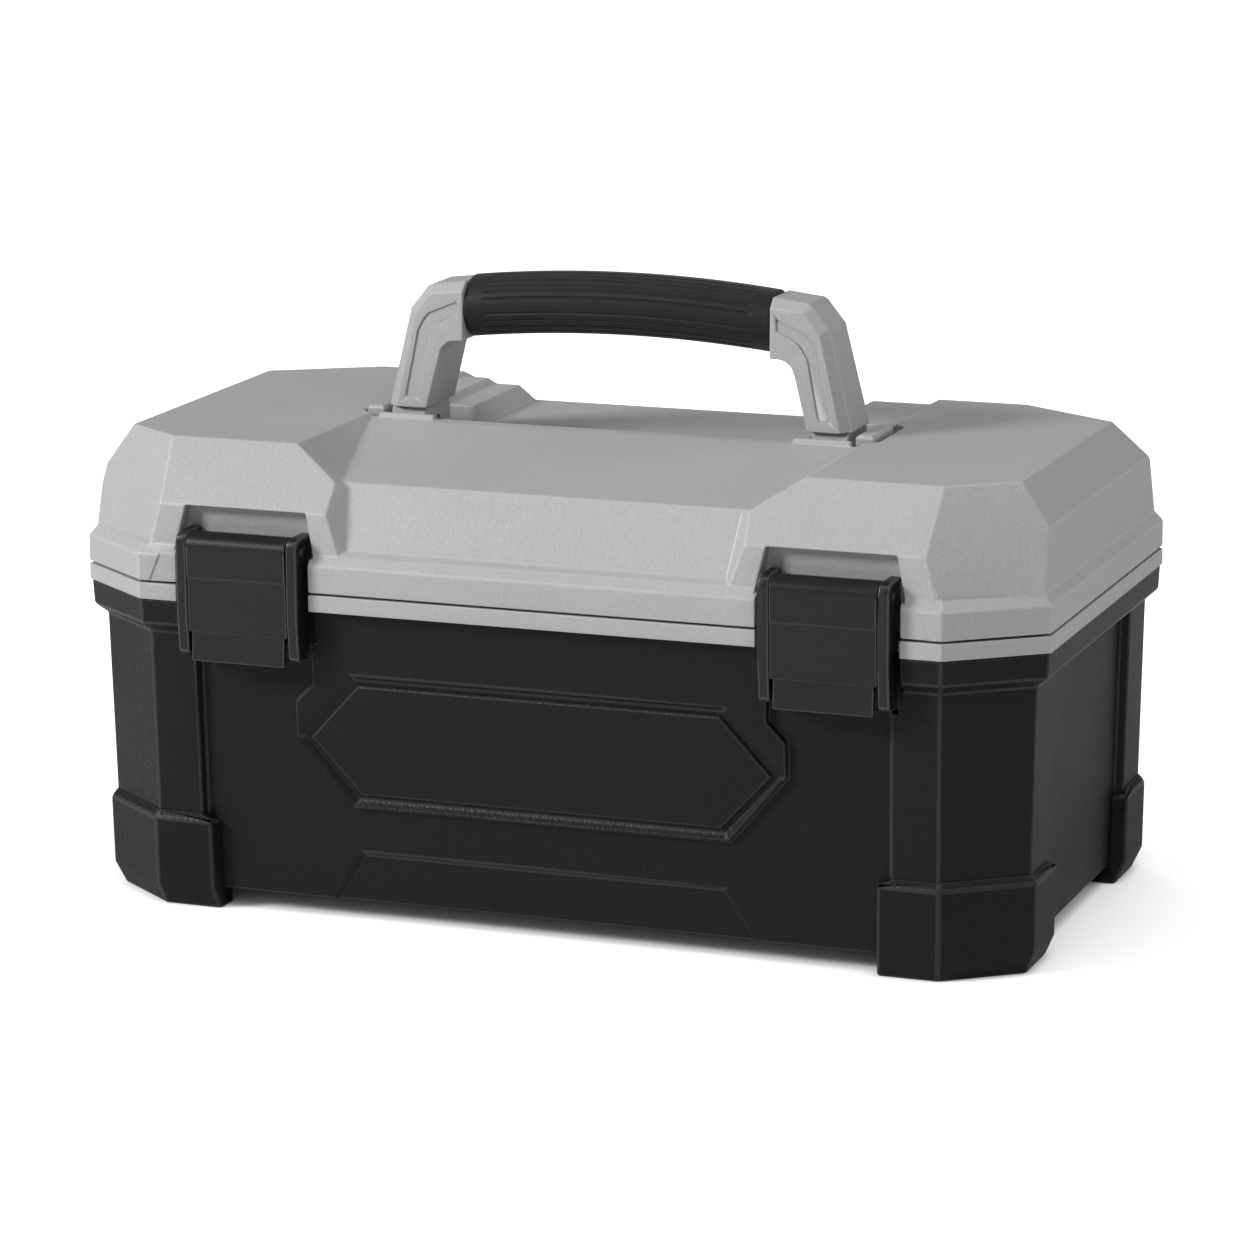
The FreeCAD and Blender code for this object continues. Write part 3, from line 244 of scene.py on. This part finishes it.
def moulded_plastic(name, colour, roughness, grain_size, grain_depth, corner_highlight=0.25, gloss=0.4):
    """Hard plastic with a moulded grain. grain_size and grain_depth are in metres.

    The number after grain_depth lightens the rounded corners, a painted highlight, and gloss is the specular
    level."""
    material, tree, shader = plain_shader(name, colour, roughness)
    shader.inputs["Specular IOR Level"].default_value = gloss
    place = tree.nodes.new("ShaderNodeTexCoord").outputs["Object"]
    mark = tree.nodes.new("ShaderNodeAttribute")
    mark.attribute_name = CORNER_MARK
    slow = noise(tree, place, PATCH_SCALE, 3.0)
    fine = noise(tree, place, 1.0 / grain_size, 3.0)

    darker = tuple(c * 0.90 for c in colour)
    lighter = tuple(c * 1.08 for c in colour)
    speckle = tuple(c * 1.30 for c in colour)
    # painted highlight: the marked, rounded corners are drawn lighter than the plastic
    corner = tuple(min(1.0, c * (1.0 + corner_highlight) + 0.012 * corner_highlight) for c in colour)
    body = mixed(tree, ramp_between(tree, slow, 0.0, 1.0), darker, lighter)
    body = mixed(tree, ramp_between(tree, fine, -0.55, 0.75), body, speckle)
    tree.links.new(mixed(tree, mark.outputs["Fac"], body, corner), shader.inputs["Base Color"])

    rough = added(tree, ramp_between(tree, slow, roughness - 0.06, roughness + 0.06),
                  ramp_between(tree, fine, -1.0, 1.0), 0.06)
    rough = added(tree, rough, mark.outputs["Fac"], -0.10)
    tree.links.new(rough, shader.inputs["Roughness"])

    bump = tree.nodes.new("ShaderNodeBump")
    bump.inputs["Distance"].default_value = grain_depth
    bump.inputs["Strength"].default_value = 1.0
    tree.links.new(fine, bump.inputs["Height"])
    tree.links.new(bump.outputs["Normal"], shader.inputs["Normal"])
    return material


# The number after the grain depth lightens each plastic's rounded corners, a painted highlight.
lid_grey = moulded_plastic("lid_grey", (0.360, 0.360, 0.358), 0.50, 1.2 * MM, 0.16 * MM, 0.10)
tub_black = moulded_plastic("tub_black", (0.0075, 0.0076, 0.0077), 0.46, 1.5 * MM, 0.42 * MM, 1.1, 0.17)
foot_black = moulded_plastic("foot_black", (0.0068, 0.0069, 0.0070), 0.48, 1.6 * MM, 0.46 * MM, 1.1, 0.16)
latch_black = moulded_plastic("latch_black", (0.0062, 0.0063, 0.0065), 0.36, 0.6 * MM, 0.04 * MM, 2.2, 0.34)
tray_black = moulded_plastic("tray_black", (0.030, 0.030, 0.032), 0.46, 0.9 * MM, 0.10 * MM, 0.6)
print("plastics:", [m.name for m in (lid_grey, tub_black, foot_black, latch_black, tray_black)])

# %% [markdown]
# Two finishes are left. The grip and the seal in the frame are soft rubber: dull, with a slight sheen
# at the edge of sight. The pins and screws are zinc-plated steel: metallic, finely scratched along
# one direction. Both could be plain colours, but rubber shows dust and steel shows
# its rolling, and a slow noise and a stretched one give them that.

# %% Rubber and steel


def soft_rubber(name, colour):
    """Dull rubber with a fine matt skin and a little dust."""
    material, tree, shader = plain_shader(name, colour, 0.55)
    shader.inputs["Sheen Weight"].default_value = 0.12
    shader.inputs["Sheen Roughness"].default_value = 0.5
    shader.inputs["Specular IOR Level"].default_value = 0.22
    place = tree.nodes.new("ShaderNodeTexCoord").outputs["Object"]
    mark = tree.nodes.new("ShaderNodeAttribute")
    mark.attribute_name = CORNER_MARK
    slow = noise(tree, place, DUST_SCALE, 4.0)
    fine = noise(tree, place, SKIN_SCALE, 2.0)
    dusty = tuple(c * 1.35 + 0.002 for c in colour)
    body = mixed(tree, ramp_between(tree, slow, -0.2, 1.0), colour, dusty)
    # painted highlight: the marked corners are drawn lighter
    painted_corner_light = tuple(c * 1.9 + 0.004 for c in colour)
    tree.links.new(mixed(tree, mark.outputs["Fac"], body, painted_corner_light), shader.inputs["Base Color"])
    tree.links.new(ramp_between(tree, slow, 0.48, 0.62), shader.inputs["Roughness"])
    bump = tree.nodes.new("ShaderNodeBump")
    bump.inputs["Distance"].default_value = 0.03 * MM
    tree.links.new(fine, bump.inputs["Height"])
    tree.links.new(bump.outputs["Normal"], shader.inputs["Normal"])
    return material


def plated_steel(name):
    """Zinc-plated steel with fine scratches along X."""
    material, tree, shader = plain_shader(name, (0.56, 0.56, 0.57), 0.3)
    shader.inputs["Metallic"].default_value = 1.0
    place = tree.nodes.new("ShaderNodeTexCoord").outputs["Object"]
    stretch = tree.nodes.new("ShaderNodeMapping")
    stretch.inputs["Scale"].default_value = (60.0, 1800.0, 1800.0)
    tree.links.new(place, stretch.inputs["Vector"])
    scratches = noise(tree, stretch.outputs["Vector"], 1.0, 2.0)
    slow = noise(tree, place, ROLLING_SCALE, 3.0)
    tree.links.new(mixed(tree, slow, (0.46, 0.46, 0.47), (0.64, 0.64, 0.65)), shader.inputs["Base Color"])
    tree.links.new(ramp_between(tree, scratches, 0.22, 0.42), shader.inputs["Roughness"])
    bump = tree.nodes.new("ShaderNodeBump")
    bump.inputs["Distance"].default_value = 0.02 * MM
    tree.links.new(scratches, bump.inputs["Height"])
    tree.links.new(bump.outputs["Normal"], shader.inputs["Normal"])
    return material


grip_rubber = soft_rubber("grip_rubber", (0.0055, 0.0055, 0.0057))
seal_rubber = soft_rubber("seal_rubber", (0.010, 0.010, 0.010))
steel = plated_steel("plated_steel")
print("rubbers and steel:", grip_rubber.name, seal_rubber.name, steel.name)

# %% [markdown]
# No moulded piece has a perfectly sharp corner: the mould is cut with a round tool and the plastic
# shrinks. So each plastic solid gets a twin with rounded corners that takes its place. The corners
# could be rounded one by one, but all of them share one rule: wherever two faces meet at a clear
# angle, a narrow rounded strip goes between them. The CAD mesh is loose triangles, so its corners are
# joined and flat neighbours merged first, or there would be no edges to round. A corner beside a
# narrow face gets a smaller rounding or none, because a strip wider than its face would fold over.
# The new strips are marked, so that the material can polish them and paint a highlight along them.

# %% Round the corners of a solid
JOIN_WITHIN = 0.02 * MM
FLAT_WEIGHT = 90          # how strongly large faces win over small ones in the shading
FLAT_WITHIN = math.radians(1.0)
ROOM_NEEDED = 1.15
SPIKE_ANGLE = math.radians(14.0)
NARROW_SHARE = 0.42


def as_piece(name, mesh, material, body, stands_for=()):
    """An object for a finished mesh, riding on its body and standing for CAD nodes."""
    piece = bpy.data.objects.new(name, mesh)
    scene.collection.objects.link(piece)
    mesh.materials.clear()
    mesh.materials.append(material)
    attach(piece, body)
    if stands_for:
        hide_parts(*stands_for)
    return piece


def on_middle_plane(edge):
    """True for an edge that lies in one of the box's two middle planes."""
    return any(all(abs(v.co[axis]) < JOIN_WITHIN for v in edge.verts) for axis in range(2))


def clean_copy(node):
    """The node's mesh as one joined surface with its flat faces merged.

    The faces are first cut on the box's two middle planes and stay cut there, so that a flat ring
    becomes four plain faces and never one face that closes over its own opening."""
    shape = bmesh.new()
    shape.from_mesh(frame["nodes"][node].data)
    bmesh.ops.remove_doubles(shape, verts=shape.verts, dist=JOIN_WITHIN)
    for axis in range(2):
        across = Vector([float(k == axis) for k in range(3)])
        bmesh.ops.bisect_plane(shape, geom=shape.verts[:] + shape.edges[:] + shape.faces[:],
                               dist=JOIN_WITHIN, plane_co=(0.0, 0.0, 0.0), plane_no=across)
    free = [e for e in shape.edges if not on_middle_plane(e)]
    bmesh.ops.dissolve_limit(shape, angle_limit=FLAT_WITHIN, use_dissolve_boundaries=False,
                             verts=[], edges=free, delimit=set())
    return shape


def roomy(edge, radius):
    """True where the faces beside an edge are wide enough to give up a strip along it."""
    start, finish = (v.co for v in edge.verts)
    for face in edge.link_faces:
        spread = 2.0 * face.calc_area() / face.calc_perimeter()
        along = (finish - start).normalized()
        widest = max((v.co - start).cross(along).length for v in face.verts)
        if spread < ROOM_NEEDED * radius or widest < 2.0 * ROOM_NEEDED * radius:
            return False
        for corner in face.loops:
            if corner.vert in edge.verts and corner.calc_angle() < SPIKE_ANGLE:
                return False
    return True


def round_corners(shape, radius, segments=2, from_angle=24.0):
    """Rounds the clear corners of a shape, the narrow ones less, and marks the new strips."""
    mark = shape.faces.layers.float.get(CORNER_MARK) or shape.faces.layers.float.new(CORNER_MARK)
    limit = math.radians(from_angle)
    count = 0
    for size in (radius, radius * NARROW_SHARE):
        corners = [e for e in shape.edges if len(e.link_faces) == 2 and e.calc_face_angle(0.0) > limit
                   and roomy(e, size) and not any(face[mark] for face in e.link_faces)]
        made = bmesh.ops.bevel(shape, geom=corners, offset=size, offset_type="OFFSET", affect="EDGES",
                               segments=segments, profile=0.5, material=-1, clamp_overlap=False)
        for face in made["faces"]:
            face[mark] = size / radius
        count += len(corners)
    return count


def finish_mesh(shape, name):
    """The shape as a smooth-shaded mesh, its many-sided faces split into triangles."""
    bmesh.ops.triangulate(shape, faces=[f for f in shape.faces if len(f.verts) > 4],
                          quad_method="BEAUTY", ngon_method="BEAUTY")
    for face in shape.faces:
        face.smooth = True
    mesh = bpy.data.meshes.new(name)
    shape.to_mesh(mesh)
    shape.free()
    return mesh


def keep_flats_flat(piece):
    """Shades each vertex by its largest faces, so that flat faces stay flat beside rounded corners."""
    weigh = piece.modifiers.new("flat_faces", "WEIGHTED_NORMAL")
    weigh.mode = "FACE_AREA"
    weigh.weight = FLAT_WEIGHT
    weigh.keep_sharp = True


def moulded_twin(node, material, radius, segments=2, from_angle=24.0):
    """The piece that stands for a plastic solid: the same shape with rounded, marked corners."""
    shape = clean_copy(node)
    count = round_corners(shape, radius, segments, from_angle)
    mesh = finish_mesh(shape, node + "_moulded")
    piece = as_piece(node + "_moulded", mesh, material, body_of_node[node], (node,))
    keep_flats_flat(piece)
    print("%-28s %4d corners, %6d faces" % (node, count, len(mesh.polygons)))
    return piece


# %% [markdown]
# The large mouldings come first. The lid and the tub have the widest corners, the
# rim frame between them is a thinner moulding with tighter ones, and the badge plate is tighter still.

# %% Tub, lid and frame
moulded_twin("tub_shell", tub_black, 1.0 * MM, 2, 17.0)
moulded_twin("lid_shell", lid_grey, 0.9 * MM)
moulded_twin("rim_frame", lid_grey, 0.6 * MM)
moulded_twin("badge_panel", tub_black, 0.4 * MM)
for corner_name in ("front_left", "front_right", "rear_left", "rear_right"):
    moulded_twin("foot_" + corner_name, foot_black, 1.3 * MM)

# %% [markdown]
# The small mouldings follow. A latch lever and its guard are smooth and a little shiny, the arms and
# the blocks are the lid's grey, and the tray has a duller black. They could share one rounding, but
# each takes the one its wall thickness allows: about a sixth of a millimetre on a divider's edge
# would be invisible, and two millimetres on a lever would eat its step. The hinge leaves are
# moulded in the same smooth black plastic as the latches.

# %% Latches, handle and tray
for side in ("left", "right"):
    moulded_twin("latch_lever_" + side, latch_black, 0.6 * MM, 2, 20.0)
    moulded_twin("latch_bracket_" + side, latch_black, 0.9 * MM)
    moulded_twin("latch_keeper_" + side, tub_black, 0.4 * MM)
    moulded_twin("handle_arm_" + side, lid_grey, 0.7 * MM)
    moulded_twin("arm_cover_" + side, lid_grey, 0.3 * MM)
    moulded_twin("handle_block_" + side, lid_grey, 0.7 * MM)
    moulded_twin("tub_hinge_leaf_" + side, latch_black, 0.35 * MM)
    moulded_twin("lid_hinge_leaf_" + side, latch_black, 0.35 * MM)
moulded_twin("tray_shell", tray_black, 0.5 * MM)
moulded_twin("tray_handle", tray_black, 0.9 * MM)
moulded_twin("tray_dividers", tray_black, 0.3 * MM)

# %% [markdown]
# The grip is soft rubber moulded over a steel bar. Long ribs run along it in two bands, one above and
# one below the middle, so that it doesn't slip in a wet hand, and the ends and the middle are plain.
# The ribs could be bumps in the material, but their outline shows against the light, so they are cut
# into the mesh: a circle is swept along the grip's arch in many short steps, and the points that lie in
# a groove are pulled towards the grip's middle line.

# %% The ribbed grip
GRIP_TURNS = 240          # points round the grip
GRIP_STEPS = 120          # rings along it, closer together towards its ends
GRIP_RISE = 4.5 * MM      # how far its middle stands above its ends
END_REACH = 1.2 * MM      # length and depth of the rounding at its ends
GROOVE_DEPTH = 0.65 * MM
GROOVE_HALF_ANGLE = 2.7   # degrees
GROOVE_MARGIN = 9.5 * MM  # plain length at each end
GROOVE_FADE = 2.0 * MM
GROOVE_ANGLES = (-69.5, -55.0, -40.5, -26.0, -11.5, 17.0, 31.5, 46.0, 60.5, 75.0)  # from the front, upwards


def groove_depth(x, half, degrees):
    """Depth of the grooves at a place along and round the grip."""
    if degrees > 90.0:
        degrees = 180.0 - degrees
    if degrees < -90.0:
        degrees = -180.0 - degrees
    nearest = min(abs(degrees - angle) for angle in GROOVE_ANGLES)
    across = max(0.0, 1.0 - (nearest / GROOVE_HALF_ANGLE) ** 2)
    along = min(1.0, max(0.0, (half - GROOVE_MARGIN - abs(x)) / GROOVE_FADE))
    return GROOVE_DEPTH * across * along


def end_rounding(x, half):
    """How far the surface drops in the last stretch before an end."""
    left = max(0.0, abs(x) - half + END_REACH)
    return END_REACH - math.sqrt(max(0.0, END_REACH ** 2 - left ** 2))


low, high = (Vector(corner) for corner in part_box("grip_sleeve"))
half = high.x
half_thick = (high.z - low.z - GRIP_RISE) / 2.0
bend = (half ** 2 + GRIP_RISE ** 2) / (2.0 * GRIP_RISE)
shape = bmesh.new()
ring = bmesh.ops.create_circle(shape, cap_ends=False, segments=GRIP_TURNS, radius=1.0)["verts"]
upright = Matrix.Rotation(math.radians(90.0), 3, "Y")
bmesh.ops.rotate(shape, verts=ring, cent=(0.0, 0.0, 0.0), matrix=upright)
bmesh.ops.translate(shape, verts=ring, vec=(-1.0, 0.0, 0.0))
bmesh.ops.spin(shape, geom=shape.edges[:], cent=(0.0, 0.0, 0.0), axis=(1.0, 0.0, 0.0), angle=0.0,
               dvec=(2.0 / GRIP_STEPS, 0.0, 0.0), steps=GRIP_STEPS, use_merge=False)
bmesh.ops.holes_fill(shape, edges=shape.edges[:], sides=0)
bmesh.ops.recalc_face_normals(shape, faces=shape.faces[:])
sleeve_mark = shape.faces.layers.float.new(CORNER_MARK)
crowd = math.pi / 2.0 * 0.985
for vert in shape.verts:
    x = half * math.sin(vert.co.x * crowd) / math.sin(crowd)
    degrees = math.degrees(math.atan2(vert.co.z, -vert.co.y))
    drop = groove_depth(x, half, degrees) + end_rounding(x, half)
    middle_z = high.z - half_thick - bend + math.sqrt(bend ** 2 - x ** 2)
    turn = math.radians(degrees)
    vert.co = (x, -(high.y - drop) * math.cos(turn), middle_z + (half_thick - drop) * math.sin(turn))
grip = as_piece("grip_ribbed", finish_mesh(shape, "grip_ribbed"), grip_rubber,
                body_of_node["grip_sleeve"], ("grip_sleeve",))
keep_flats_flat(grip)
print("grip faces:", len(grip.data.polygons))

# %% [markdown]
# The screws are pressed from steel wire, and a punch leaves a cross in each head. A boolean with a
# cross-shaped block could cut it. Here the head's flat end is divided by straight cuts, and the five
# fields that make up the cross are pushed in with a little taper, so the mesh stays clean.

# %% Screws with crosses
CROSS_HALF = 0.5 * MM     # half width of a bar of the cross
CROSS_REACH = 2.2 * MM    # half length of a bar
CROSS_DEPTH = 1.0 * MM
CROSS_TAPER = 0.7
HEAD_REACH = 3.7 * MM     # faces within this of a head's middle belong to the head
HEAD_LEVEL = 0.05 * MM
HEAD_ROUNDING = 0.25 * MM
FACING = 0.9              # a face looks the same way as its head where its normal does
FIRST_TURN = 20.0         # degrees; no two screws stop at the same turn
NEXT_TURN = 37.0


def head_fields(shape, middle, facing):
    """Faces on the flat end of the screw head whose middle is given."""
    return [f for f in shape.faces if f.normal.y * facing > FACING
            and (f.calc_center_median() - middle).length < HEAD_REACH]


def press_cross(shape, middle, facing, turn):
    """Presses one cross into a head."""
    bars = (Vector((math.cos(turn), 0.0, math.sin(turn))), Vector((-math.sin(turn), 0.0, math.cos(turn))))
    for bar in bars:
        for offset in (-CROSS_REACH, -CROSS_HALF, CROSS_HALF, CROSS_REACH):
            fields = head_fields(shape, middle, facing)
            around = dict.fromkeys([e for f in fields for e in f.edges] + [v for f in fields for v in f.verts])
            bmesh.ops.bisect_plane(shape, geom=fields + list(around), dist=1e-7,
                                   plane_co=middle + bar * offset, plane_no=bar)
    cross = []
    for field in head_fields(shape, middle, facing):
        across = sorted(abs((field.calc_center_median() - middle).dot(bar)) for bar in bars)
        if across[0] < CROSS_HALF and across[1] < CROSS_REACH:
            cross.append(field)
    pushed = bmesh.ops.extrude_face_region(shape, geom=cross)["geom"]
    bmesh.ops.delete(shape, geom=cross, context="FACES_ONLY")
    for vert in (item for item in pushed if isinstance(item, bmesh.types.BMVert)):
        vert.co = middle + (vert.co - middle) * CROSS_TAPER - Vector((0.0, facing * CROSS_DEPTH, 0.0))


def crossed_screws(node, facing):
    """The node's screws with a cross in each head. The heads face the rear (1) or the front (-1)."""
    shape = clean_copy(node)
    middles = [f.calc_center_median() for f in shape.faces if f.normal.y * facing > FACING]
    outermost = max(middle.y * facing for middle in middles) - HEAD_LEVEL
    heads = sorted((middle for middle in middles if middle.y * facing > outermost),
                   key=lambda middle: (round(middle.x, 4), round(middle.z, 4)))
    for index, middle in enumerate(heads):
        press_cross(shape, middle, facing, math.radians(FIRST_TURN + NEXT_TURN * index))
    count = round_corners(shape, HEAD_ROUNDING, 2, 40.0)
    piece = as_piece(node + "_crossed", finish_mesh(shape, node + "_crossed"), steel,
                     body_of_node[node], (node,))
    keep_flats_flat(piece)
    print("%-28s %4d heads, %4d corners, %6d faces" % (node, len(heads), count, len(piece.data.polygons)))


crossed_screws("lid_hinge_screws", 1.0)
crossed_screws("tub_hinge_screws", 1.0)
crossed_screws("latch_screws", -1.0)

# %% [markdown]
# Pins, the core bar and the seal are round or hidden, and need no rounding. They could be copied like
# the rest, but the solids themselves can stay and only take a finish.

# %% Finishes of the solids that stay
STAYING = ("hinge_pin", "handle_pivot", "handle_core", "latch_pin", "lid_seal")
finishes = {"steel": steel, "seal_rubber": seal_rubber}
for node in (name for name in frame["nodes"] if name.startswith(STAYING)):
    piece = frame["nodes"][node]
    finish = finishes[slot_of_node[node]]
    if not piece.material_slots:
        piece.data.materials.append(finish)
    for holder in piece.material_slots:
        holder.material = finish
    print("%-28s %s" % (node, finish.name))
